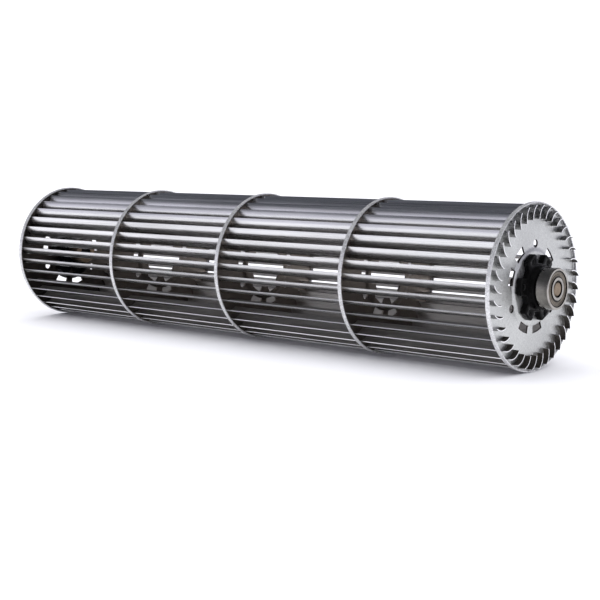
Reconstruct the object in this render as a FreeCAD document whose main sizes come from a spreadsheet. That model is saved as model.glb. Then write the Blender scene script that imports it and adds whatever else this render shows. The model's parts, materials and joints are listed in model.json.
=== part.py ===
import FreeCAD, Part
import os
import re
from enum import IntEnum

import Sketcher
from FreeCAD import Vector

# Rotor of a cross flow fan: pressed sheet discs joined by curved sheet blades, hung at both ends
# in rubber hubs. One hub carries a ball bearing, the other a bush for the motor's shaft.
# Frame, in millimetres: X is the axis of rotation, from the drive end to the bearing end, and Z is
# up. The origin is on the axis, in the middle of the drive end disc's rim, inside the drive bore.

SIZES = {
    # Rotor
    "rotor_radius": 45.0,
    "disc_pitch": 95.0,
    "disc_count": 5,
    "sheet_thickness": 1.0,
    # Blades: each section is an arc that leaves the inner edge radially and turns forward
    "blade_count": 36,
    "blade_thickness": 0.5,
    "blade_arc_radius": 7.9,
    "blade_turn_angle": 65.0,
    "blade_overhang": 2.0,
    "rim_margin": 1.5,
    "slot_clearance": 0.1,
    # Pressing of a disc, from the turned up rim inwards
    "rim_wall": 0.8,
    "rim_rounding": 0.3,
    "dish_depth": 1.45,
    "boss_height": 0.75,
    "boss_slope": 2.2,
    "boss_margin": 2.1,
    "boss_bend_radius": 3.0,
    # Openings punched in a disc
    "pattern_angle": 25.0,
    "lobe_count": 6,
    "opening_sets": 3,
    "tooth_tip_radius": 13.0,
    "star_reach": 16.8,
    "star_slot_width": 9.2,
    "star_corner": 1.0,
    "window_gap": 3.6,
    "window_height": 4.3,
    "window_angle": 22.5,
    "spoke_angle": 13.0,
    "pin_hole_radius": 2.2,
    "pin_hole_gap": 6.2,
    # Rubber hubs
    "hub_clearance": 0.1,
    "lobe_lip": 1.2,
    "lobe_thickness": 3.0,
    "lobe_root_depth": 5.0,
    "dimple_radius": 1.5,
    "dimple_depth": 0.6,
    "dimple_edge": 2.9,
    "neck_radius": 11.5,
    "neck_length": 3.2,
    "hub_tail_length": 2.4,
    # Steel inserts in the hubs
    "insert_radius": 5.5,
    "insert_clearance": 0.03,
    "insert_tail": 1.4,
    "bore_radius": 4.0,
    "turned_chamfer": 0.5,
    # Ball bearing
    "bearing_radius": 11.0,
    "bearing_width": 7.0,
    "bearing_standoff": 1.0,
    "ring_chamfer": 0.3,
    "outer_wall": 1.4,
    "shield_ledge": 0.65,
    "inner_wall": 2.05,
    "shield_edge_gap": 0.15,
    "shield_inner_gap": 0.3,
    "shield_thickness": 0.3,
    "shield_recess": 0.35,
    "ball_radius": 1.984,
    "ball_clearance": 0.1,
    "ball_count": 7,
    "cage_thickness": 0.8,
    "cage_width": 5.0,
    # Stub shaft's end in the bearing
    "shaft_clearance": 0.01,
    "shaft_end_recess": 0.2,
    "shaft_end_chamfer": 0.65,
    # Drive bush and its screw
    "collar_radius": 8.0,
    "collar_length": 10.0,
    "screw_radius": 2.4,
    "screw_clearance": 0.1,
    "screw_tip_gap": 0.15,
    "screw_end_gap": 0.2,
    "screw_chamfer": 0.4,
    "socket_radius": 1.44,
    "socket_depth": 1.8,
}

# Sizes that follow from those above, as formulas
BLADE_DROP = "(blade_arc_radius * (1 - cos(blade_turn_angle)))"
BLADE_ROOT = (
    "(sqrt((rotor_radius - rim_margin)^2 - {drop}^2)"
    " - blade_arc_radius * sin(blade_turn_angle))"
).format(drop=BLADE_DROP)
BLADE_START = "(-sheet_thickness / 2 - blade_overhang)"
BLADE_LENGTH = "((disc_count - 1) * disc_pitch - 2 * {start})".format(start=BLADE_START)

RIM_INSIDE = "(rotor_radius - rim_wall)"
BOSS_TOP = "(star_reach + boss_margin)"
BOSS_FOOT = "({top} + boss_slope)".format(top=BOSS_TOP)
WINDOW_INNER = "(star_reach + window_gap)"
WINDOW_OUTER = "({inner} + window_height)".format(inner=WINDOW_INNER)
BOSS_BACK = "(boss_height - dish_depth - sheet_thickness / 2)"
BOSS_FRONT = "({back} + sheet_thickness)".format(back=BOSS_BACK)

HUB_CORE = "(tooth_tip_radius - hub_clearance)"
LOBE_FRONT = "({face} + lobe_thickness)".format(face=BOSS_FRONT)
LOBE_BACK = "({face} - lobe_thickness)".format(face=BOSS_BACK)
NECK_END = "({front} + neck_length)".format(front=LOBE_FRONT)
HUB_TAIL = "({back} - hub_tail_length)".format(back=LOBE_BACK)
INSERT_TAIL = "({tail} - insert_tail)".format(tail=HUB_TAIL)
COLLAR_END = "({neck} + collar_length)".format(neck=NECK_END)

BEARING_REAR = "({neck} + bearing_standoff)".format(neck=NECK_END)
BEARING_FRONT = "({rear} + bearing_width)".format(rear=BEARING_REAR)
BEARING_MIDDLE = "({rear} + bearing_width / 2)".format(rear=BEARING_REAR)
SHIELD_DEPTH = "(shield_recess + shield_thickness)"
SHIELD_SEAT = "(bearing_radius - outer_wall)"
OUTER_LAND = "({seat} - shield_ledge)".format(seat=SHIELD_SEAT)
INNER_LAND = "(bore_radius + inner_wall)"
BALL_CIRCLE = "(({outer} + {inner}) / 2)".format(outer=OUTER_LAND, inner=INNER_LAND)
END_DISC = "((disc_count - 1) * disc_pitch)"

SAME_RADIUS = 1e-6
FULL_TURN = 360.0
QUARTER_TURN = FULL_TURN / 4
LOBE_TURN = "(pattern_angle + {} / lobe_count)".format(FULL_TURN / 2)
HOLE_TURN = "(pattern_angle + {} / opening_sets)".format(FULL_TURN / 2)
HEXAGON_SIDES = 6
SIZE_NAME = re.compile(r"\b[a-z]+(?:_[a-z]+)+\b")

document = FreeCAD.newDocument("CrossFlowRotor")
sheet = document.addObject("Spreadsheet::Sheet", "Sizes")
for row, (size_name, size_value) in enumerate(SIZES.items(), start=1):
    cell = "A{}".format(row)
    sheet.set(cell, str(size_value))
    sheet.setAlias(cell, size_name)
document.recompute()

At = IntEnum("At", "START END MIDDLE")

pieces = []


def in_sheet(formula):
    """A formula with each size's name pointed at its cell."""
    return SIZE_NAME.sub(r"Sizes.\g<0>", formula)


def value_of(formula):
    """The number that a formula comes to now."""
    return float(sheet.evalExpression(in_sheet(formula)))


def tie(item, target, formula):
    """Ties one property of an object to a formula of the named sizes."""
    item.setExpression(target, in_sheet(formula))


def origin_item(body, role):
    """One of a body's own origin planes or axes."""
    return next(item for item in body.Origin.OriginFeatures if item.Role == role)


def keep(piece, label, along="0"):
    """Labels a finished piece, places it along the axis and lists it for export."""
    piece.Label = label
    tie(piece, "Placement.Base.x", along)
    pieces.append(piece)
    return piece


def new_body(label, along="0"):
    """An empty body with its label and its place along the axis."""
    return keep(document.addObject("PartDesign::Body", label), label, along)


class Outline:
    """A sketch on a body's own plane, with every point tied to the named sizes."""

    CENTRE = (-1, At.START)

    def __init__(self, body, name, plane="YZ_Plane", lift="0", turn="0"):
        self.sketch = body.newObject("Sketcher::SketchObject", name)
        self.sketch.AttachmentSupport = [(origin_item(body, plane), "")]
        self.sketch.MapMode = "FlatFace"
        tie(self.sketch, "AttachmentOffset.Base.z", lift)
        tie(self.sketch, "AttachmentOffset.Rotation.Angle", turn)

    def rule(self, *terms):
        """A geometric constraint."""
        return self.sketch.addConstraint(Sketcher.Constraint(*terms))

    def measure(self, formula, *terms):
        """A dimension tied to a formula."""
        number = value_of(formula)
        if terms[0] == "Angle":
            number = FreeCAD.Units.Quantity("{} deg".format(number)).getValueAs("rad").Value
        index = self.rule(*terms, number)
        tie(self.sketch, "Constraints[{}]".format(index), formula)

    def place(self, point, across, up):
        """Sets a point by its two distances from the sketch's centre."""
        self.measure(across, "DistanceX", *self.CENTRE, *point)
        self.measure(up, "DistanceY", *self.CENTRE, *point)

    def polygon(self, corners):
        """Closed straight lines through corners, each given as two formulas."""
        points = [Vector(value_of(across), value_of(up), 0) for across, up in corners]
        lines = [
            self.sketch.addGeometry(Part.LineSegment(point, points[(i + 1) % len(points)]))
            for i, point in enumerate(points)
        ]
        for i, line in enumerate(lines):
            self.rule("Coincident", line, At.END, lines[(i + 1) % len(lines)], At.START)
            self.place((line, At.START), *corners[i])
        return self

    def circle(self, radius, across="0", up="0"):
        """A circle with its centre set by two formulas."""
        centre = Vector(value_of(across), value_of(up), 0)
        ring = self.sketch.addGeometry(Part.Circle(centre, Vector(0, 0, 1), value_of(radius)))
        self.measure(radius, "Radius", ring)
        self.place((ring, At.MIDDLE), across, up)
        return self

    def arc(self, radius, centre, first, last):
        """An arc about a point, between two angles in degrees."""
        whole = Part.Circle(centre, Vector(0, 0, 1), value_of(radius))
        to_radians = FreeCAD.Units.Quantity("1 deg").getValueAs("rad").Value
        piece = Part.ArcOfCircle(whole, first * to_radians, last * to_radians)
        index = self.sketch.addGeometry(piece)
        self.measure(radius, "Radius", index)
        return index

    def join(self, lower, upper, at):
        """A line between the like ends of two arcs."""
        ends = [self.sketch.getPoint(lower, at), self.sketch.getPoint(upper, at)]
        line = self.sketch.addGeometry(Part.LineSegment(*ends))
        self.rule("Coincident", line, At.START, lower, at)
        self.rule("Coincident", line, At.END, upper, at)
        return line

    def sector(self, inner, outer, middle, spread):
        """Part of a ring between two radii, centred on an angle."""
        first = value_of("({}) - ({}) / 2".format(middle, spread))
        last = value_of("({}) + ({}) / 2".format(middle, spread))
        arcs = [self.arc(radius, Vector(), first, last) for radius in (inner, outer)]
        for curve in arcs:
            self.rule("Coincident", curve, At.MIDDLE, *self.CENTRE)
        for at, sign in ((At.START, "-"), (At.END, "+")):
            side = self.join(*arcs, at)
            self.rule("PointOnObject", *self.CENTRE, side)
            self.measure("({}) {} ({}) / 2".format(middle, sign, spread), "Angle", side)
        return self

    def blade_section(self, margin):
        """The curved strip of a blade, grown on every side by a margin."""
        bend = (BLADE_ROOT, "-blade_arc_radius")
        centre = Vector(value_of(bend[0]), value_of(bend[1]), 0)
        beyond = "atan(({}) / blade_arc_radius) / 1 deg".format(margin)
        tip_angle = "({} - blade_turn_angle - {})".format(QUARTER_TURN, beyond)
        radii = [
            "blade_arc_radius {} (blade_thickness / 2 + ({}))".format(sign, margin)
            for sign in "-+"
        ]
        first = value_of(tip_angle)
        arcs = [self.arc(radius, centre, first, QUARTER_TURN) for radius in radii]
        self.rule("Coincident", arcs[0], At.MIDDLE, arcs[1], At.MIDDLE)
        self.place((arcs[0], At.MIDDLE), *bend)
        tip = self.join(*arcs, At.START)
        self.rule("PointOnObject", arcs[0], At.MIDDLE, tip)
        self.measure(tip_angle, "Angle", tip)
        root = self.join(*arcs, At.END)
        self.rule("Vertical", root)
        self.measure(
            "{} - ({})".format(BLADE_ROOT, margin),
            "DistanceX", *self.CENTRE, root, At.START,
        )
        return self

    def lobe(self, start, reach, half_width, corner):
        """A straight sided lobe along the sketch's first axis, with its outer corners cut."""
        shoulder = "({}) - ({})".format(reach, corner)
        flank = "({}) - ({})".format(half_width, corner)
        return self.polygon([
            (start, "-({})".format(half_width)),
            (shoulder, "-({})".format(half_width)),
            (reach, "-({})".format(flank)),
            (reach, flank),
            (shoulder, half_width),
            (start, half_width),
        ])


def turned(body, corners):
    """Turns a profile, given as distances along and from the axis, about the body's X axis."""
    solid = body.newObject("PartDesign::Revolution", "Turned")
    solid.Profile = Outline(body, "Profile", "XY_Plane").polygon(corners).sketch
    solid.ReferenceAxis = (origin_item(body, "X_Axis"), [""])
    solid.Angle = FULL_TURN
    body.Tip = solid
    return solid


def bent(body, name, circles, rounding):
    """Rounds the edges of a pressed sheet that lie on circles of the given radii."""
    document.recompute()
    pressed = body.Tip
    radii = [value_of(circle) for circle in circles]
    edges = [
        "Edge{}".format(number)
        for number, edge in enumerate(pressed.Shape.Edges, start=1)
        if any(abs(edge.BoundBox.YLength / 2 - radius) < SAME_RADIUS for radius in radii)
    ]
    bend = body.newObject("PartDesign::Fillet", name)
    bend.Base = (pressed, edges)
    tie(bend, "Radius", rounding)
    body.Tip = bend


def raceway(body):
    """Cuts the round groove that the balls run in."""
    groove = body.newObject("PartDesign::Groove", "Raceway")
    groove.Profile = (
        Outline(body, "RacewaySection", "XY_Plane")
        .circle("ball_radius + ball_clearance", "bearing_width / 2", BALL_CIRCLE)
        .sketch
    )
    groove.ReferenceAxis = (origin_item(body, "X_Axis"), [""])
    groove.Angle = FULL_TURN
    body.Tip = groove


def punched(body, name, outline):
    """Cuts an outline right through the body, both ways."""
    cut = body.newObject("PartDesign::Pocket", name)
    cut.Profile = outline.sketch
    cut.SideType = "Symmetric"
    cut.Type = "ThroughAll"
    return cut


def repeated(body, name, features, count):
    """Repeats features evenly about the body's X axis."""
    pattern = body.newObject("PartDesign::PolarPattern", name)
    pattern.Originals = features
    pattern.Axis = (origin_item(body, "X_Axis"), [""])
    pattern.Angle = FULL_TURN
    tie(pattern, "Occurrences", count)
    body.Tip = pattern
    return pattern


def make_blade(index):
    """One blade: a curved strip that runs the whole length through every disc."""
    body = new_body("blade_{:02d}".format(index + 1))
    blade = body.newObject("PartDesign::Pad", "Strip")
    blade.Profile = Outline(body, "Section", lift=BLADE_START).blade_section("0").sketch
    tie(blade, "Length", BLADE_LENGTH)
    body.Placement.Rotation.Axis = Vector(1, 0, 0)
    tie(body, "Placement.Rotation.Angle", "{} / blade_count * {}".format(FULL_TURN, index))


def make_disc(label, along):
    """One disc: a shallow pan, slotted for the blades, with a star shaped hole for a hub."""
    body = new_body(label, along)
    front = "sheet_thickness / 2"
    web = [
        ("-dish_depth", BOSS_FOOT),
        ("boss_height - dish_depth", BOSS_TOP),
        ("boss_height - dish_depth", "tooth_tip_radius"),
    ]
    rim = [
        ("{} - dish_depth - sheet_thickness".format(front), "rotor_radius"),
        (front, "rotor_radius"),
        (front, RIM_INSIDE),
        ("{} - dish_depth".format(front), RIM_INSIDE),
    ]
    face = [("{} + {}".format(front, shift), radius) for shift, radius in web]
    back = [("{} - {}".format(shift, front), radius) for shift, radius in web]
    turned(body, rim + face + back[::-1])
    bent(body, "RimBends", ("rotor_radius", RIM_INSIDE), "rim_rounding")
    bent(body, "BossBends", (BOSS_FOOT, BOSS_TOP), "boss_bend_radius")

    slot = punched(body, "Slot", Outline(body, "SlotSection").blade_section("slot_clearance"))
    repeated(body, "Slots", [slot], "blade_count")

    star = Outline(body, "StarSection", turn=LOBE_TURN).lobe(
        "0", "star_reach", "star_slot_width / 2", "star_corner"
    )
    repeated(body, "Star", [punched(body, "StarArm", star)], "lobe_count")

    middle = "(spoke_angle + window_angle) / 2"
    windows = Outline(body, "WindowPair", turn="pattern_angle")
    windows.sector(WINDOW_INNER, WINDOW_OUTER, middle, "window_angle")
    windows.sector(WINDOW_INNER, WINDOW_OUTER, "-{}".format(middle), "window_angle")
    hole = Outline(body, "PinHole", turn=HOLE_TURN)
    hole.circle("pin_hole_radius", "star_reach + pin_hole_gap")
    openings = [punched(body, "Windows", windows), punched(body, "Hole", hole)]
    repeated(body, "Openings", openings, "opening_sets")


def make_hub(label, along):
    """One rubber hub: its lobes fill the star hole and grip the disc from both faces."""
    body = new_body(label, along)
    bore = "insert_radius + insert_clearance"
    turned(body, [
        (HUB_TAIL, bore),
        (HUB_TAIL, "neck_radius"),
        (LOBE_BACK, "neck_radius"),
        (LOBE_BACK, HUB_CORE),
        (LOBE_FRONT, HUB_CORE),
        (LOBE_FRONT, "neck_radius"),
        (NECK_END, "neck_radius"),
        (NECK_END, bore),
    ])
    start = "{} - lobe_root_depth".format(HUB_CORE)
    half_width = "star_slot_width / 2 - hub_clearance"
    layers = (
        ("Rear", LOBE_BACK, BOSS_BACK, "star_reach + lobe_lip"),
        ("Web", BOSS_BACK, BOSS_FRONT, "star_reach - hub_clearance"),
        ("Front", BOSS_FRONT, LOBE_FRONT, "star_reach + lobe_lip"),
    )
    lobes = []
    for name, low, high, reach in layers:
        lobe = body.newObject("PartDesign::Pad", name + "Lobe")
        outline = Outline(body, name + "Section", lift=low, turn=LOBE_TURN)
        lobe.Profile = outline.lobe(start, reach, half_width, "star_corner").sketch
        tie(lobe, "Length", "{} - {}".format(high, low))
        lobes.append(lobe)
    repeated(body, "Lobes", lobes, "lobe_count")
    dimple = body.newObject("PartDesign::Pocket", "Dimple")
    mark = Outline(body, "DimpleSection", lift=LOBE_FRONT, turn=LOBE_TURN)
    dimple.Profile = mark.circle("dimple_radius", "star_reach + lobe_lip - dimple_edge").sketch
    tie(dimple, "Length", "dimple_depth")
    repeated(body, "Dimples", [dimple], "lobe_count")


def make_stub_shaft():
    """The turned steel shaft in the bearing end hub, with a shoulder for the bearing."""
    radius = "bore_radius - shaft_clearance"
    end = "{} - shaft_end_recess".format(BEARING_FRONT)
    turned(new_body("stub_shaft", END_DISC), [
        (INSERT_TAIL, "0"),
        (INSERT_TAIL, "insert_radius - turned_chamfer"),
        ("{} + turned_chamfer".format(INSERT_TAIL), "insert_radius"),
        (BEARING_REAR, "insert_radius"),
        (BEARING_REAR, radius),
        ("{} - shaft_end_chamfer".format(end), radius),
        (end, "{} - shaft_end_chamfer".format(radius)),
        (end, "0"),
    ])


def make_drive_bush():
    """The turned steel bush in the drive end hub, with a tapped collar."""
    body = new_body("drive_bush")
    turned(body, [
        (INSERT_TAIL, "bore_radius + turned_chamfer"),
        (INSERT_TAIL, "insert_radius"),
        (NECK_END, "insert_radius"),
        (NECK_END, "collar_radius"),
        ("{} - turned_chamfer".format(COLLAR_END), "collar_radius"),
        (COLLAR_END, "collar_radius - turned_chamfer"),
        (COLLAR_END, "bore_radius + turned_chamfer"),
        ("{} - turned_chamfer".format(COLLAR_END), "bore_radius"),
        ("{} + turned_chamfer".format(INSERT_TAIL), "bore_radius"),
    ])
    tapped = body.newObject("PartDesign::Pocket", "ScrewHole")
    hole = Outline(body, "ScrewHoleSection", "XY_Plane")
    hole.circle("screw_radius + screw_clearance", "{} + collar_length / 2".format(NECK_END))
    tapped.Profile = hole.sketch
    tapped.Reversed = True
    tie(tapped, "Length", "collar_radius")
    body.Tip = tapped


def make_grub_screw():
    """The set screw that clamps the motor's shaft, with its hexagon socket."""
    tip = "(bore_radius + screw_tip_gap)"
    end = "(collar_radius - screw_end_gap)"
    body = new_body("grub_screw", "{} + collar_length / 2".format(NECK_END))
    shank = body.newObject("PartDesign::Revolution", "Shank")
    shank.Profile = Outline(body, "ShankProfile", "XZ_Plane").polygon([
        ("0", tip),
        ("screw_radius - screw_chamfer", tip),
        ("screw_radius", "{} + screw_chamfer".format(tip)),
        ("screw_radius", "{} - screw_chamfer".format(end)),
        ("screw_radius - screw_chamfer", end),
        ("0", end),
    ]).sketch
    shank.ReferenceAxis = (origin_item(body, "Z_Axis"), [""])
    shank.Angle = FULL_TURN
    turns = ["({} * {})".format(FULL_TURN / HEXAGON_SIDES, corner) for corner in range(HEXAGON_SIDES)]
    corners = [("socket_radius * cos" + turn, "socket_radius * sin" + turn) for turn in turns]
    socket = body.newObject("PartDesign::Pocket", "Socket")
    socket.Profile = Outline(body, "SocketSection", "XY_Plane", lift=end).polygon(corners).sketch
    tie(socket, "Length", "socket_depth")
    body.Tip = socket


def make_bearing():
    """A shielded single row ball bearing, against the stub shaft's shoulder."""
    along = "{} + {}".format(END_DISC, BEARING_REAR)
    outer = new_body("bearing_outer_ring", along)
    turned(outer, [
        ("0", SHIELD_SEAT),
        ("0", "bearing_radius - ring_chamfer"),
        ("ring_chamfer", "bearing_radius"),
        ("bearing_width - ring_chamfer", "bearing_radius"),
        ("bearing_width", "bearing_radius - ring_chamfer"),
        ("bearing_width", SHIELD_SEAT),
        ("bearing_width - {}".format(SHIELD_DEPTH), SHIELD_SEAT),
        ("bearing_width - {}".format(SHIELD_DEPTH), OUTER_LAND),
        (SHIELD_DEPTH, OUTER_LAND),
        (SHIELD_DEPTH, SHIELD_SEAT),
    ])
    raceway(outer)
    inner = new_body("bearing_inner_ring", along)
    turned(inner, [
        ("0", "bore_radius + ring_chamfer"),
        ("0", INNER_LAND),
        ("bearing_width", INNER_LAND),
        ("bearing_width", "bore_radius + ring_chamfer"),
        ("bearing_width - ring_chamfer", "bore_radius"),
        ("ring_chamfer", "bore_radius"),
    ])
    raceway(inner)
    shield_bore = "{} + shield_inner_gap".format(INNER_LAND)
    shield_edge = "{} - shield_edge_gap".format(SHIELD_SEAT)
    for label, low in (
        ("bearing_rear_shield", "shield_recess"),
        ("bearing_front_shield", "bearing_width - {}".format(SHIELD_DEPTH)),
    ):
        high = "{} + shield_thickness".format(low)
        turned(new_body(label, along), [
            (low, shield_bore),
            (low, shield_edge),
            (high, shield_edge),
            (high, shield_bore),
        ])
    make_cage(along)
    for index in range(SIZES["ball_count"]):
        make_ball(index)


def make_cage(along):
    """The ring that keeps the balls apart, with a round pocket for each."""
    body = new_body("bearing_cage", along)
    rear, front = ["(bearing_width {} cage_width) / 2".format(sign) for sign in "-+"]
    inside, outside = ["{} {} cage_thickness / 2".format(BALL_CIRCLE, sign) for sign in "-+"]
    turned(body, [(rear, inside), (rear, outside), (front, outside), (front, inside)])
    pocket = body.newObject("PartDesign::Pocket", "BallPocket")
    mouth = Outline(body, "PocketSection", "XY_Plane")
    mouth.circle("ball_radius + ball_clearance", "bearing_width / 2")
    pocket.Profile = mouth.sketch
    pocket.Reversed = True
    tie(pocket, "Length", "2 * {}".format(BALL_CIRCLE))
    repeated(body, "BallPockets", [pocket], "ball_count")


def make_ball(index):
    """One of the bearing's balls."""
    ball = document.addObject("Part::Sphere", "Ball")
    tie(ball, "Radius", "ball_radius")
    angle = "{} / ball_count * {}".format(FULL_TURN, index)
    tie(ball, "Placement.Base.y", "-{} * sin({})".format(BALL_CIRCLE, angle))
    tie(ball, "Placement.Base.z", "{} * cos({})".format(BALL_CIRCLE, angle))
    keep(ball, "bearing_ball_{}".format(index + 1), "{} + {}".format(END_DISC, BEARING_MIDDLE))


def check_pieces():
    """Stops if any object failed or any piece has no sound solid."""
    for item in document.Objects:
        if {"Invalid", "Error"} & set(item.State):
            raise RuntimeError("{} failed: {}".format(item.Label, item.State))
    for piece in pieces:
        if piece.Shape.isNull() or not piece.Shape.isValid() or len(piece.Shape.Solids) != 1:
            raise RuntimeError("{} is not one sound solid".format(piece.Label))


for blade_index in range(SIZES["blade_count"]):
    make_blade(blade_index)
make_disc("end_disc_drive_side", "0")
for disc_index in range(1, SIZES["disc_count"] - 1):
    make_disc("support_disc_{}".format(disc_index), "{} * disc_pitch".format(disc_index))
make_disc("end_disc_bearing_side", END_DISC)
make_hub("rubber_hub_drive_side", "0")
make_hub("rubber_hub_bearing_side", END_DISC)
make_stub_shaft()
make_drive_bush()
make_grub_screw()
make_bearing()

document.recompute()
check_pieces()

os.makedirs("parts", exist_ok=True)
for piece in pieces:
    piece.Shape.exportStep("parts/{}.step".format(piece.Label))
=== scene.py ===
"""Looks of a cross flow fan rotor: finishes, finer blades, hubs and bearing, the studio and the camera.

Everything is in metres, in the frame of the solids: X is the axis of rotation and Z is up.
"""

from __future__ import annotations

import json
import logging
import math
from dataclasses import dataclass, field
from enum import Enum

import bmesh
import bpy
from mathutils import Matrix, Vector

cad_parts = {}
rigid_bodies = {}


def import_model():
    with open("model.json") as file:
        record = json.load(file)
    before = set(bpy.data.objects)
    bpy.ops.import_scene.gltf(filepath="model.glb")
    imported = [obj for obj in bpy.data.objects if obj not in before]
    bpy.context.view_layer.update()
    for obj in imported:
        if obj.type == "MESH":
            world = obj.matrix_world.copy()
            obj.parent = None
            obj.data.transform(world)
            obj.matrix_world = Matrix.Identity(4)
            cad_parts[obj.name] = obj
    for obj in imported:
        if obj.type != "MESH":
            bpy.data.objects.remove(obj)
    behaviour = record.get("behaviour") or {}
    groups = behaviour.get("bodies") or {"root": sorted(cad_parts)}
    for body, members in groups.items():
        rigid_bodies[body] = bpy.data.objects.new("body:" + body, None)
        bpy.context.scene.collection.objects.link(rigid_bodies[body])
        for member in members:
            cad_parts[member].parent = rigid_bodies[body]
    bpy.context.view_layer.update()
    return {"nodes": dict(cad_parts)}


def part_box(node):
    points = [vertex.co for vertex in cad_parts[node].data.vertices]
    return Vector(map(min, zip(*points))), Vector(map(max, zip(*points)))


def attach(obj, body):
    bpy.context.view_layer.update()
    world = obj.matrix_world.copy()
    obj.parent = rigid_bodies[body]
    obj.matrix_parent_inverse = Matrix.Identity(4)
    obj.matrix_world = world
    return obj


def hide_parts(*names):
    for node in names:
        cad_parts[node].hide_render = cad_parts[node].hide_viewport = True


LOG = logging.getLogger("rotor")
MILLIMETRE = 0.001
MIDDLE = 190.0 * MILLIMETRE
ROTOR_RADIUS = 45.0 * MILLIMETRE
NOISE_LOW = 0.3
NOISE_HIGH = 0.7

Colour = tuple[float, float, float, float]


def grey(level: float, warmth: float = 0.0) -> Colour:
    """A grey of one brightness.

    Args:
        level: Linear brightness, 0 to 1.
        warmth: Share by which red rises and blue falls; below zero it turns bluish.

    Returns:
        The colour with full opacity.
    """
    return (level * (1 + warmth), level, level * (1 - warmth), 1.0)


class Board:
    """A node tree with short calls for adding and joining its nodes."""

    def __init__(self, tree: bpy.types.NodeTree) -> None:
        """Takes over a tree and empties it.

        Args:
            tree: The tree that the nodes go into.
        """
        self.tree = tree
        self.tree.nodes.clear()

    def add(self, kind: str, inputs: dict | None = None, **settings: object) -> bpy.types.Node:
        """Adds a node.

        Args:
            kind: The node's type.
            inputs: Values or other nodes' outputs, by socket name or number.
            **settings: Properties of the node itself.

        Returns:
            The new node.
        """
        node = self.tree.nodes.new(kind)
        for name, value in settings.items():
            setattr(node, name, value)
        for name, value in (inputs or {}).items():
            if isinstance(value, bpy.types.NodeSocket):
                self.tree.links.new(value, node.inputs[name])
            else:
                node.inputs[name].default_value = value
        return node

    def sum(self, operation: str, first: object, second: object = 0.0) -> bpy.types.NodeSocket:
        """The result of one sum on two numbers.

        Args:
            operation: The Math node's operation.
            first: A number or an output.
            second: A number or an output.

        Returns:
            The output that holds the result.
        """
        return self.add("ShaderNodeMath", {0: first, 1: second}, operation=operation).outputs[0]

    def blend(self, share: object, first: object, second: object) -> bpy.types.NodeSocket:
        """Mixes two colours.

        Args:
            share: How much of the second colour shows.
            first: A colour or an output.
            second: A colour or an output.

        Returns:
            The mixed colour.
        """
        mix = self.add("ShaderNodeMix", data_type="RGBA")
        for place, value in ((0, share), (6, first), (7, second)):
            if isinstance(value, bpy.types.NodeSocket):
                self.tree.links.new(value, mix.inputs[place])
            else:
                mix.inputs[place].default_value = value
        return mix.outputs[2]


class Surface(Board):
    """A material's tree, with calls for the patterns that metal and rubber need."""

    def __init__(self, name: str) -> None:
        """Makes an empty material.

        Args:
            name: The material's name.
        """
        self.material = bpy.data.materials.new(name)
        self.material.use_nodes = True
        super().__init__(self.material.node_tree)
        place = self.add("ShaderNodeTexCoord")
        self.point = place.outputs["Object"]
        self.facing = place.outputs["Normal"]

    def stretched(self, along: float, across: float) -> bpy.types.NodeSocket:
        """The object's own coordinates with one scale along the axis and another across it.

        Args:
            along: Scale along X.
            across: Scale along Y and Z.

        Returns:
            The scaled point.
        """
        scale = (along, across, across)
        return self.add("ShaderNodeMapping", {"Vector": self.point, "Scale": scale}).outputs["Vector"]

    def radius(self) -> bpy.types.NodeSocket:
        """Measures from the axis of rotation.

        Returns:
            The distance from the axis.
        """
        flat = self.stretched(0.0, 1.0)
        return self.add("ShaderNodeVectorMath", {0: flat}, operation="LENGTH").outputs["Value"]

    def from_middle(self) -> bpy.types.NodeSocket:
        """Measures along the axis from the rotor's middle.

        Returns:
            The distance, below zero towards the drive end.
        """
        along = self.add("ShaderNodeSeparateXYZ", {0: self.point}).outputs["X"]
        return self.sum("SUBTRACT", along, MIDDLE)

    def rings(self, pitch: float) -> bpy.types.NodeSocket:
        """Uneven turning marks round the axis, on faces and on round walls alike.

        Args:
            pitch: Typical distance between two marks.

        Returns:
            A value from 0 to 1.
        """
        place = self.sum("DIVIDE", self.sum("ADD", self.radius(), self.from_middle()), pitch)
        inputs = {"W": place, "Scale": 1.0, "Detail": 3.0}
        return self.add("ShaderNodeTexNoise", inputs, noise_dimensions="1D").outputs["Fac"]

    def noise(self, point: bpy.types.NodeSocket, scale: float, detail: float = 4.0) -> bpy.types.NodeSocket:
        """Smooth random variation.

        Args:
            point: The place that it is read at.
            scale: How fine it is.
            detail: How many finer layers it has.

        Returns:
            A value from 0 to 1.
        """
        inputs = {"Vector": point, "Scale": scale, "Detail": detail}
        return self.add("ShaderNodeTexNoise", inputs).outputs["Fac"]

    def spread(self, value: bpy.types.NodeSocket, low: float, high: float) -> bpy.types.NodeSocket:
        """Stretches the middle of a random value over a range.

        Args:
            value: The value, mostly between NOISE_LOW and NOISE_HIGH.
            low: What its low end becomes.
            high: What its high end becomes.

        Returns:
            The new value, kept inside the range.
        """
        inputs = {
            "Value": value, "From Min": NOISE_LOW, "From Max": NOISE_HIGH, "To Min": low, "To Max": high,
        }
        return self.add("ShaderNodeMapRange", inputs).outputs["Result"]

    def relief(
        self, height: bpy.types.NodeSocket, depth: float, under: bpy.types.NodeSocket | None = None
    ) -> bpy.types.NodeSocket:
        """Raises and lowers the surface's shading.

        Args:
            height: The height pattern, 0 to 1.
            depth: The real depth of the pattern.
            under: Relief that this one lies on.

        Returns:
            The bent normal.
        """
        inputs = {"Height": height, "Distance": depth, "Strength": 1.0}
        if under is not None:
            inputs["Normal"] = under
        return self.add("ShaderNodeBump", inputs).outputs["Normal"]

    def close(self, inputs: dict) -> bpy.types.Material:
        """Adds the shader and ends the tree.

        Args:
            inputs: What the shader's sockets get.

        Returns:
            The finished material.
        """
        shader = self.add("ShaderNodeBsdfPrincipled", inputs)
        self.add("ShaderNodeOutputMaterial", {"Surface": shader.outputs["BSDF"]})
        return self.material


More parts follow.
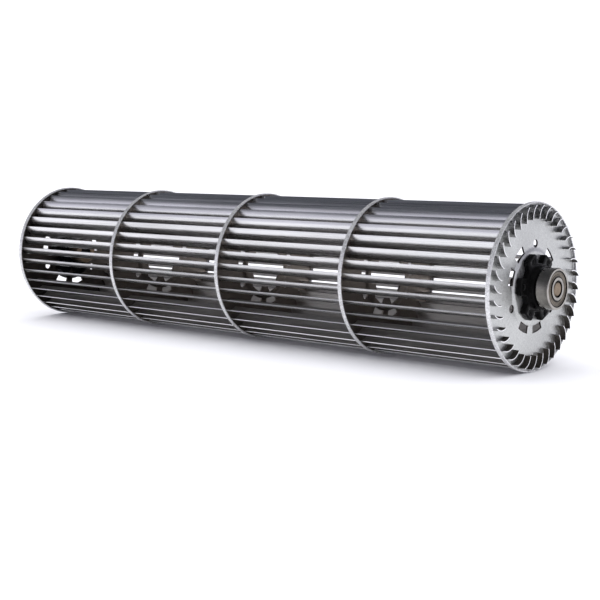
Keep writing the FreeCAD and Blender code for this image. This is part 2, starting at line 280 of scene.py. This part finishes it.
@dataclass(frozen=True)
class RolledSteel:
    """Satin sheet with fine lines along it, with painted shade where it stands past the end discs."""

    name: str
    dark: Colour
    light: Colour
    painted_end_shade: Colour = grey(0.08, 0.12)
    metal: float = 1.0
    drum_half: float = 189.2 * MILLIMETRE
    smooth: float = 0.24
    rough: float = 0.38
    line_length: float = 0.09
    line_width: float = 0.0009
    line_depth: float = 0.000007
    wave_length: float = 0.03
    wave_depth: float = 0.00003
    patch_scale: tuple[float, float] = (8.0, 60.0)

    def material(self) -> bpy.types.Material:
        """Builds the material.

        Returns:
            The finished material.
        """
        surface = Surface(self.name)
        lines = surface.noise(surface.stretched(1 / self.line_length, 1 / self.line_width), 1.0)
        waves = surface.noise(surface.stretched(1 / self.wave_length, 2 / self.wave_length), 1.0, 1.0)
        patches = surface.noise(surface.stretched(*self.patch_scale), 1.0)
        tone = surface.sum("MULTIPLY", surface.sum("ADD", lines, patches), 0.5)
        bent = surface.relief(waves, self.wave_depth)
        # Past the end discs the sheet takes its end colour instead, a painted shade.
        past = surface.sum("GREATER_THAN", surface.sum("ABSOLUTE", surface.from_middle()), self.drum_half)
        sheet = surface.blend(surface.spread(tone, 0.0, 1.0), self.dark, self.light)
        return surface.close({
            "Base Color": surface.blend(past, sheet, self.painted_end_shade),
            "Metallic": self.metal,
            "Roughness": surface.spread(lines, self.smooth, self.rough),
            "Normal": surface.relief(lines, self.line_depth, bent),
        })


@dataclass(frozen=True)
class ZincSheet:
    """Galvanised sheet, fine grained; painted highlight on its turned up rim, painted shade inside the
    drum.
    """

    name: str
    dark: Colour
    light: Colour
    inner: Colour
    inner_end_shade: Colour
    rim_dark: Colour = grey(0.50)
    rim_light: Colour = grey(0.82)
    rim_rough: float = 0.42
    rim_metal: float = 0.72
    cloud: float = 0.022
    rim_radius: float = 43.9 * MILLIMETRE
    drum_half: float = 185.0 * MILLIMETRE
    spangle: float = 0.0006
    spangle_share: float = 0.35
    grain_scale: float = 400.0
    smooth: float = 0.32
    rough: float = 0.5
    grain_depth: float = 0.00001

    def material(self) -> bpy.types.Material:
        """Builds the material.

        Returns:
            The finished material.
        """
        surface = Surface(self.name)
        grain = surface.noise(surface.point, self.grain_scale)
        cells = surface.add(
            "ShaderNodeTexVoronoi",
            {"Vector": surface.point, "Scale": 1 / self.spangle, "Randomness": 1.0},
        )
        shade = surface.add("ShaderNodeSeparateColor", {0: cells.outputs["Color"]}).outputs[0]
        cloud = surface.noise(surface.point, 1 / self.cloud)
        spangles = surface.sum("MULTIPLY", shade, self.spangle_share)
        clouds = surface.sum("MULTIPLY", cloud, 1 - self.spangle_share)
        tone = surface.spread(surface.sum("ADD", spangles, clouds), 0.0, 1.0)
        way = surface.add("ShaderNodeSeparateXYZ", {0: surface.facing}).outputs["X"]
        from_middle = surface.from_middle()
        at_end = surface.sum("GREATER_THAN", surface.sum("ABSOLUTE", from_middle), self.drum_half)
        outward = surface.sum("GREATER_THAN", surface.sum("MULTIPLY", way, from_middle), 0.0)
        shown = surface.sum("MULTIPLY", at_end, outward)
        # Faces inside the drum get painted shade: the inner colour on the support discs, a darker one on
        # the end discs.
        painted_inner_shade = surface.blend(at_end, self.inner, self.inner_end_shade)
        face = surface.blend(shown, painted_inner_shade, surface.blend(tone, self.dark, self.light))
        # Past the rim radius the turned up rim gets brighter, less metallic colours: a painted highlight.
        at_rim = surface.sum("GREATER_THAN", surface.radius(), self.rim_radius)
        rim = surface.blend(tone, self.rim_dark, self.rim_light)
        return surface.close({
            "Base Color": surface.blend(at_rim, face, rim),
            "Metallic": surface.sum("SUBTRACT", 1.0, surface.sum("MULTIPLY", at_rim, 1 - self.rim_metal)),
            "Roughness": surface.sum("MAXIMUM", surface.spread(shade, self.smooth, self.rough),
                                     surface.sum("MULTIPLY", at_rim, self.rim_rough)),
            "Normal": surface.relief(grain, self.grain_depth),
        })


@dataclass(frozen=True)
class MouldedRubber:
    """Black moulded rubber with a fine grain and painted highlights along its sharpest edges."""

    name: str
    dark: Colour
    light: Colour
    gloss: float = 0.05
    painted_edge_glint: Colour = grey(0.06)
    grain: float = 0.0004
    depth: float = 0.00001
    dust_scale: float = 120.0
    smooth: float = 0.24
    rough: float = 0.42
    edge_from: float = 0.62
    edge_to: float = 0.8

    def material(self) -> bpy.types.Material:
        """Builds the material.

        Returns:
            The finished material.
        """
        surface = Surface(self.name)
        grain = surface.noise(surface.point, 1 / self.grain)
        dust = surface.noise(surface.point, self.dust_scale)
        # Sharp edges get a paler colour: painted glints.
        bulge = surface.add("ShaderNodeNewGeometry").outputs["Pointiness"]
        inputs = {"Value": bulge, "From Min": self.edge_from, "From Max": self.edge_to}
        edge = surface.add("ShaderNodeMapRange", inputs)
        tone = surface.blend(surface.spread(dust, 0.0, 1.0), self.dark, self.light)
        return surface.close({
            "Base Color": surface.blend(edge.outputs["Result"], tone, self.painted_edge_glint),
            "Roughness": surface.spread(dust, self.smooth, self.rough),
            "Specular IOR Level": self.gloss,
            "Normal": surface.relief(grain, self.depth),
        })


@dataclass(frozen=True)
class TurnedSteel:
    """Steel finished on a lathe or a grinder, with marks round the axis and painted shade in its grooves.

    A groove is a pair of radii in millimetres.
    """

    name: str
    dark: Colour
    light: Colour
    smooth: float
    rough: float
    grooves: tuple[tuple[float, float], ...] = ()
    painted_gap_shade: Colour = (0.012, 0.010, 0.008, 1.0)
    pitch: float = 0.00012
    depth: float = 0.000002
    stain_scale: float = 260.0

    def material(self) -> bpy.types.Material:
        """Builds the material.

        Returns:
            The finished material.
        """
        surface = Surface(self.name)
        rings = surface.rings(self.pitch)
        stain = surface.noise(surface.point, self.stain_scale)
        tone = surface.sum("MULTIPLY", surface.sum("ADD", rings, stain), 0.5)
        colour = surface.blend(surface.spread(tone, 0.0, 1.0), self.dark, self.light)
        radius = surface.radius()
        # Each groove is a gap between parts, coloured near black as painted shade.
        for inner, outer in self.grooves:
            middle = (inner + outer) / 2 * MILLIMETRE
            inputs = {0: radius, 1: middle, 2: (outer - inner) / 2 * MILLIMETRE}
            inside = surface.add("ShaderNodeMath", inputs, operation="COMPARE").outputs[0]
            colour = surface.blend(inside, colour, self.painted_gap_shade)
        return surface.close({
            "Base Color": colour,
            "Metallic": 1.0,
            "Roughness": surface.spread(rings, self.smooth, self.rough),
            "Normal": surface.relief(rings, self.depth),
        })


class Finish(Enum):
    """Every finish on the rotor."""

    # Third colour, or the default: painted shade past the end discs; the cut edge stays bright there.
    BLADE_OUTSIDE = RolledSteel(
        "blade outside", grey(0.48), grey(0.88), grey(0.30), smooth=0.22, rough=0.36,
    )
    # The inside faces are darker than the outside, as painted shade of the drum's inside, and browner.
    BLADE_INSIDE_SHADED = RolledSteel(
        "blade inside", grey(0.26, 0.06), grey(0.44, 0.04), metal=0.88, smooth=0.34, rough=0.52,
    )
    BLADE_EDGE = RolledSteel(
        "blade cut edge", grey(0.7), grey(0.95), grey(0.95), smooth=0.3, rough=0.45,
    )
    # The inner colours are painted shade for the disc faces inside the drum.
    DISC = ZincSheet(
        "galvanised disc", (0.45, 0.455, 0.445, 1), (0.65, 0.66, 0.64, 1),
        inner=grey(0.17, 0.13), inner_end_shade=grey(0.08, 0.12),
    )
    HUB = MouldedRubber("hub rubber", grey(0.002), grey(0.006))
    SHAFT = TurnedSteel(
        "shaft steel", (0.12, 0.09, 0.06, 1), (0.30, 0.23, 0.16, 1), 0.25, 0.42, ((3.75, 4.2),),
    )
    SCREW = TurnedSteel("blackened screw", grey(0.02), grey(0.06), 0.3, 0.5)
    RING = TurnedSteel(
        "ground bearing steel", (0.22, 0.21, 0.195, 1), (0.43, 0.41, 0.38, 1), 0.05, 0.14,
        ((3.9, 4.6), (6.0, 6.9), (9.0, 9.7)),
    )
    SHIELD = TurnedSteel(
        "shield steel", (0.06, 0.05, 0.038, 1), (0.20, 0.175, 0.14, 1), 0.2, 0.4, ((5.9, 6.9), (9.0, 9.9)),
    )
    CAGE = TurnedSteel("cage steel", grey(0.45), grey(0.62), 0.25, 0.4)

    def dress(self, piece: bpy.types.Object) -> None:
        """Gives a piece this finish alone.

        Args:
            piece: The piece.
        """
        piece.data.materials.clear()
        piece.data.materials.append(self.made())

    def made(self) -> bpy.types.Material:
        """Finds the finish's material, or builds it the first time.

        Returns:
            The material.
        """
        found = bpy.data.materials.get(self.value.name)
        return found or self.value.material()


@dataclass
class BladeDrum:
    """The thirty-six curved blades, each an arc strip that runs the whole length."""

    nodes: list[str]
    rim_margin: float = 1.5 * MILLIMETRE
    arc_radius: float = 7.9 * MILLIMETRE
    arc_turn: float = math.radians(65.0)
    thickness: float = 0.5 * MILLIMETRE
    edge_rounding: float = 0.07 * MILLIMETRE
    edge_steps: int = 2
    play: float = math.radians(0.06)
    seed: int = 11
    arc_points: int = 11

    def root_radius(self) -> float:
        """Works out where the blades start.

        Returns:
            The distance from the axis to their inner edges.
        """
        tip = ROTOR_RADIUS - self.rim_margin
        drop = self.arc_radius * (1 - math.cos(self.arc_turn))
        return math.sqrt(tip**2 - drop**2) - self.arc_radius * math.sin(self.arc_turn)

    def tree(self) -> tuple[bpy.types.NodeTree, dict[str, str]]:
        """Builds the nodes that make one strip and repeat it round the axis.

        Returns:
            The tree, and the identifier of each of its inputs by name.
        """
        tree = bpy.data.node_groups.new("blades round the axis", "GeometryNodeTree")
        board = Board(tree)
        kinds = {
            "Blade count": "NodeSocketInt", "Start": "NodeSocketFloat", "Length": "NodeSocketFloat",
            "Root radius": "NodeSocketFloat", "Arc radius": "NodeSocketFloat",
            "Arc turn": "NodeSocketFloat", "Arc points": "NodeSocketInt", "Play": "NodeSocketFloat",
            "Seed": "NodeSocketInt", "Finish": "NodeSocketMaterial",
        }
        known = {
            name: tree.interface.new_socket(name, in_out="INPUT", socket_type=kind).identifier
            for name, kind in kinds.items()
        }
        tree.interface.new_socket("Geometry", in_out="OUTPUT", socket_type="NodeSocketGeometry")
        given = board.add("NodeGroupInput").outputs
        first = board.sum("SUBTRACT", math.pi / 2, given["Arc turn"])
        arc = board.add("GeometryNodeCurveArc", {
            "Resolution": given["Arc points"], "Radius": given["Arc radius"],
            "Start Angle": first, "Sweep Angle": given["Arc turn"],
        })
        shift = board.add("ShaderNodeCombineXYZ", {
            "X": given["Start"],
            "Y": given["Root radius"],
            "Z": board.sum("MULTIPLY", given["Arc radius"], -1.0),
        })
        upright = board.add("GeometryNodeTransform", {
            "Geometry": arc.outputs["Curve"],
            "Translation": shift.outputs[0],
            "Rotation": (math.pi / 2, 0.0, math.pi / 2),
        })
        line = board.add("GeometryNodeCurveToMesh", {"Curve": upright.outputs[0]})
        reach = board.add("ShaderNodeCombineXYZ", {"X": given["Length"]})
        strip = board.add(
            "GeometryNodeExtrudeMesh",
            {"Mesh": line.outputs[0], "Offset": reach.outputs[0], "Offset Scale": 1.0},
            mode="EDGES",
        )
        points = board.add("GeometryNodePoints", {"Count": given["Blade count"]})
        index = board.add("GeometryNodeInputIndex").outputs[0]
        pitch = board.sum("DIVIDE", math.tau, given["Blade count"])
        slack = board.add("FunctionNodeRandomValue", {
            2: board.sum("MULTIPLY", given["Play"], -1.0), 3: given["Play"], "Seed": given["Seed"],
        })
        turn = board.sum("ADD", board.sum("MULTIPLY", index, pitch), slack.outputs[1])
        angles = board.add("ShaderNodeCombineXYZ", {"X": turn})
        turned = board.add("FunctionNodeEulerToRotation", {0: angles.outputs[0]})
        placed = board.add("GeometryNodeInstanceOnPoints", {
            "Points": points.outputs[0], "Instance": strip.outputs["Mesh"], "Rotation": turned.outputs[0],
        })
        plain = board.add("GeometryNodeRealizeInstances", {"Geometry": placed.outputs[0]})
        dressed = board.add("GeometryNodeSetMaterial", {
            "Geometry": plain.outputs[0], "Material": given["Finish"],
        })
        board.add("NodeGroupOutput", {"Geometry": dressed.outputs[0]})
        return tree, known

    def build(self) -> bpy.types.Object:
        """Makes the blades as one plain mesh.

        Returns:
            The piece that stands for the blade solids.
        """
        low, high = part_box(self.nodes[0])
        host = new_piece("blades", bpy.data.meshes.new("blade strips"))
        kinds = (Finish.BLADE_INSIDE_SHADED, Finish.BLADE_OUTSIDE, Finish.BLADE_EDGE)
        finishes = [kind.made() for kind in kinds]
        # The node tree leaves slot 0 empty and its faces get slot 1, so the sheet's other side gets 2
        # and its rim 3. The object needs all four slots before its modifiers are worked out.
        for material in (None, *finishes):
            host.data.materials.append(material)
        tree, known = self.tree()
        strips = host.modifiers.new("Strips", "NODES")
        strips.node_group = tree
        values = {
            "Blade count": len(self.nodes), "Start": low.x, "Length": high.x - low.x,
            "Root radius": self.root_radius(), "Arc radius": self.arc_radius, "Arc turn": self.arc_turn,
            "Arc points": self.arc_points, "Play": self.play, "Seed": self.seed,
            "Finish": finishes[0],
        }
        for name, value in values.items():
            strips[known[name]] = value
        sheet = host.modifiers.new("Sheet", "SOLIDIFY")
        sheet.thickness = self.thickness
        sheet.offset = 0.0
        sheet.material_offset = 1
        sheet.material_offset_rim = 2
        edge = host.modifiers.new("Edge", "BEVEL")
        edge.width = self.edge_rounding
        edge.segments = self.edge_steps
        edge.limit_method = "ANGLE"
        edge.harden_normals = True
        made_plain(host)
        host.data.materials.pop(index=0)
        for material in finishes[1:]:
            host.data.materials.append(material)
        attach(host, "rotor")
        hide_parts(*self.nodes)
        return host


def new_piece(name: str, mesh: bpy.types.Mesh) -> bpy.types.Object:
    """Links a new mesh object at the origin.

    Args:
        name: The piece's name.
        mesh: Its mesh.

    Returns:
        The object.
    """
    piece = bpy.data.objects.new(name, mesh)
    bpy.context.scene.collection.objects.link(piece)
    return piece


def made_plain(piece: bpy.types.Object) -> None:
    """Turns a piece's modifiers into a plain, smooth mesh.

    Args:
        piece: The piece.
    """
    seen = piece.evaluated_get(bpy.context.evaluated_depsgraph_get())
    mesh = bpy.data.meshes.new_from_object(seen)
    piece.modifiers.clear()
    piece.data = mesh
    mesh.name = piece.name
    for face in mesh.polygons:
        face.use_smooth = True


@dataclass
class SoftenedNode:
    """A solid's own shape with its edges rounded, as a mould or a press leaves them."""

    node: str
    rounding: float = 0.35 * MILLIMETRE
    segments: int = 3
    sharp: float = math.radians(25.0)
    flat: float = math.radians(0.5)
    merge: float = 0.002 * MILLIMETRE

    def build(self, finish: Finish, slot: str, body: str = "rotor") -> bpy.types.Object:
        """Makes the rounded copy and puts it in the solid's place.

        Args:
            finish: The finish that it gets.
            slot: Not used.
            body: The body that it moves with.

        Returns:
            The new piece.
        """
        source = bpy.data.objects[self.node]
        mesh = source.data.copy()
        shape = bmesh.new()
        shape.from_mesh(mesh)
        bmesh.ops.remove_doubles(shape, verts=shape.verts, dist=self.merge)
        bmesh.ops.dissolve_limit(shape, angle_limit=self.flat, verts=shape.verts, edges=shape.edges)
        shape.to_mesh(mesh)
        shape.free()
        piece = new_piece(self.node + "_rounded", mesh)
        edge = piece.modifiers.new("Edge", "BEVEL")
        edge.width = self.rounding
        edge.segments = self.segments
        edge.limit_method = "ANGLE"
        edge.angle_limit = self.sharp
        edge.harden_normals = True
        finish.dress(piece)
        made_plain(piece)
        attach(piece, body)
        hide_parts(self.node)
        return piece


@dataclass
class PressedShield:
    """A bearing's sheet shield, with a shallow ring pressed into it.

    Its outer side faces along X where outward is 1, and the other way where it is -1.
    """

    node: str
    outward: int
    sheet: float = 0.14 * MILLIMETRE
    ring_inner: float = 7.3 * MILLIMETRE
    ring_outer: float = 8.6 * MILLIMETRE
    slope: float = 0.22 * MILLIMETRE
    segments: int = 96
    merge: float = 0.001 * MILLIMETRE

    def build(self) -> bpy.types.Object:
        """Makes the shield inside its solid's box.

        Returns:
            The new piece.
        """
        low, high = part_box(self.node)
        face = high.x if self.outward > 0 else low.x
        depth = high.x - low.x - self.sheet
        solid = bpy.data.objects[self.node].data
        bore = min(math.hypot(vertex.co.y, vertex.co.z) for vertex in solid.vertices)
        front = [
            (0.0, bore), (0.0, self.ring_inner), (depth, self.ring_inner + self.slope),
            (depth, self.ring_outer - self.slope), (0.0, self.ring_outer), (0.0, high.z),
        ]
        back = [(behind + self.sheet, radius) for behind, radius in reversed(front)]
        shape = bmesh.new()
        corners = [
            shape.verts.new((face - self.outward * behind, 0.0, radius)) for behind, radius in front + back
        ]
        edges = [shape.edges.new((corners[i - 1], corners[i])) for i in range(len(corners))]
        bmesh.ops.spin(
            shape, geom=corners + edges, cent=(0.0, 0.0, 0.0), axis=(1.0, 0.0, 0.0),
            angle=math.tau, steps=self.segments, use_merge=True,
        )
        bmesh.ops.remove_doubles(shape, verts=shape.verts, dist=self.merge)
        bmesh.ops.recalc_face_normals(shape, faces=shape.faces)
        mesh = bpy.data.meshes.new(self.node + "_pressed")
        shape.to_mesh(mesh)
        shape.free()
        piece = new_piece(self.node + "_pressed", mesh)
        Finish.SHIELD.dress(piece)
        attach(piece, "bearing_outer")
        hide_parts(self.node)
        return piece


@dataclass
class Bearing:
    """The ball bearing."""

    def build(self) -> None:
        """Dresses the rings, the cage and the balls, and makes the shields."""
        for node, finish in (
            ("bearing_outer_ring", Finish.RING),
            ("bearing_inner_ring", Finish.RING),
            ("bearing_cage", Finish.CAGE),
        ):
            finish.dress(bpy.data.objects[node])
        for piece in bpy.data.objects:
            if piece.name.startswith("bearing_ball"):
                Finish.RING.dress(piece)
        PressedShield("bearing_rear_shield", -1).build()
        PressedShield("bearing_front_shield", 1).build()


@dataclass
class ViewPoint:
    """The photograph's camera."""

    place: Vector = field(default_factory=lambda: Vector((0.71674, -0.57900, 0.07141)))
    azimuth: float = math.radians(40.78)
    elevation: float = math.radians(6.77)
    lens: float = 75.58
    nearest: float = 0.01
    farthest: float = 50.0

    def build(self) -> bpy.types.Object:
        """Makes the scene's camera.

        Returns:
            The camera.
        """
        data = bpy.data.cameras.new("camera")
        data.lens = self.lens
        data.clip_start = self.nearest
        data.clip_end = self.farthest
        camera = bpy.data.objects.new("camera", data)
        bpy.context.scene.collection.objects.link(camera)
        level = math.cos(self.elevation)
        back = Vector((
            math.sin(self.azimuth) * level, -math.cos(self.azimuth) * level, math.sin(self.elevation),
        ))
        camera.location = self.place
        camera.rotation_euler = (-back).to_track_quat("-Z", "Y").to_euler()
        bpy.context.scene.camera = camera
        return camera


@dataclass
class Studio:
    """A white table inside a white dome, lit evenly from above.

    The steel mirrors the table and a room of its own, pale at the horizon and dim overhead.
    """

    floor: float = -ROTOR_RADIUS
    table_colour: Colour = (0.9, 0.9, 0.93, 1.0)
    table_rough: float = 0.8
    dome_radius: float = 8.0
    dome_colour: Colour = grey(1.0)
    dome_level: float = 1.15
    dome_splits: int = 4
    horizon: Colour = (0.985, 0.975, 1.12, 1.0)
    ceiling: Colour = (0.10, 0.105, 0.125, 1.0)
    ceiling_from: float = math.radians(34.0)
    overhead_strength: float = 4.0
    overhead_angle: float = math.radians(120.0)

    def build(self) -> None:
        """Makes the table, the dome, the room and the overhead light."""
        self.table()
        self.dome()
        self.room()
        self.overhead()

    def table(self) -> None:
        """Makes the white table."""
        half = self.dome_radius
        corners = [(-half, -half), (half, -half), (half, half), (-half, half)]
        mesh = bpy.data.meshes.new("table")
        mesh.from_pydata([(x, y, self.floor) for x, y in corners], [], [(0, 1, 2, 3)])
        surface = Surface("white table")
        inputs = {"Base Color": self.table_colour, "Roughness": self.table_rough}
        mesh.materials.append(surface.close(inputs))
        new_piece("table", mesh)

    def dome(self) -> None:
        """Makes the white ground behind the rotor, which neither lights nor shades anything."""
        mesh = bpy.data.meshes.new("dome")
        shape = bmesh.new()
        bmesh.ops.create_icosphere(shape, subdivisions=self.dome_splits, radius=self.dome_radius)
        bmesh.ops.reverse_faces(shape, faces=shape.faces)
        shape.to_mesh(mesh)
        shape.free()
        material = bpy.data.materials.new("white ground")
        material.use_nodes = True
        board = Board(material.node_tree)
        inputs = {"Color": self.dome_colour, "Strength": self.dome_level}
        light = board.add("ShaderNodeEmission", inputs)
        board.add("ShaderNodeOutputMaterial", {"Surface": light.outputs[0]})
        mesh.materials.append(material)
        dome = new_piece("dome", mesh)
        dome.visible_diffuse = False
        dome.visible_glossy = False
        dome.visible_transmission = False
        dome.visible_volume_scatter = False
        dome.visible_shadow = False

    def room(self) -> None:
        """Makes the light that comes from all round."""
        world = bpy.data.worlds.new("room")
        world.use_nodes = True
        board = Board(world.node_tree)
        way = board.add("ShaderNodeTexCoord").outputs["Generated"]
        up = board.add("ShaderNodeSeparateXYZ", {0: way}).outputs["Z"]
        share = board.add("ShaderNodeMapRange", {
            "Value": up, "From Min": 0.0, "From Max": math.sin(self.ceiling_from),
        }, interpolation_type="SMOOTHSTEP")
        light = board.add("ShaderNodeBackground", {
            "Color": board.blend(share.outputs["Result"], self.horizon, self.ceiling),
        })
        board.add("ShaderNodeOutputWorld", {"Surface": light.outputs[0]})
        bpy.context.scene.world = world

    def overhead(self) -> None:
        """Makes the wide light above, which the steel doesn't mirror."""
        data = bpy.data.lights.new("overhead", "SUN")
        data.energy = self.overhead_strength
        data.angle = self.overhead_angle
        lamp = bpy.data.objects.new("overhead", data)
        lamp.visible_glossy = False
        bpy.context.scene.collection.objects.link(lamp)


def main() -> None:
    """Loads the solids and dresses them."""
    logging.basicConfig(level=logging.INFO, format="%(message)s")
    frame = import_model()
    bpy.context.scene.view_settings.view_transform = "Standard"
    ViewPoint().build()
    Studio().build()
    blades = sorted(name for name in frame["nodes"] if name.startswith("blade_"))
    LOG.info("blades: %d faces", len(BladeDrum(blades).build().data.polygons))
    for name, node in frame["nodes"].items():
        if "disc" in name:
            Finish.DISC.dress(node)
    for name in ("rubber_hub_drive_side", "rubber_hub_bearing_side"):
        piece = SoftenedNode(name).build(Finish.HUB, "hub_rubber")
        LOG.info("%s: %d faces", piece.name, len(piece.data.polygons))
    Finish.SHAFT.dress(frame["nodes"]["stub_shaft"])
    Finish.SHAFT.dress(frame["nodes"]["drive_bush"])
    Finish.SCREW.dress(frame["nodes"]["grub_screw"])
    Bearing().build()


if __name__ == "__main__":
    main()
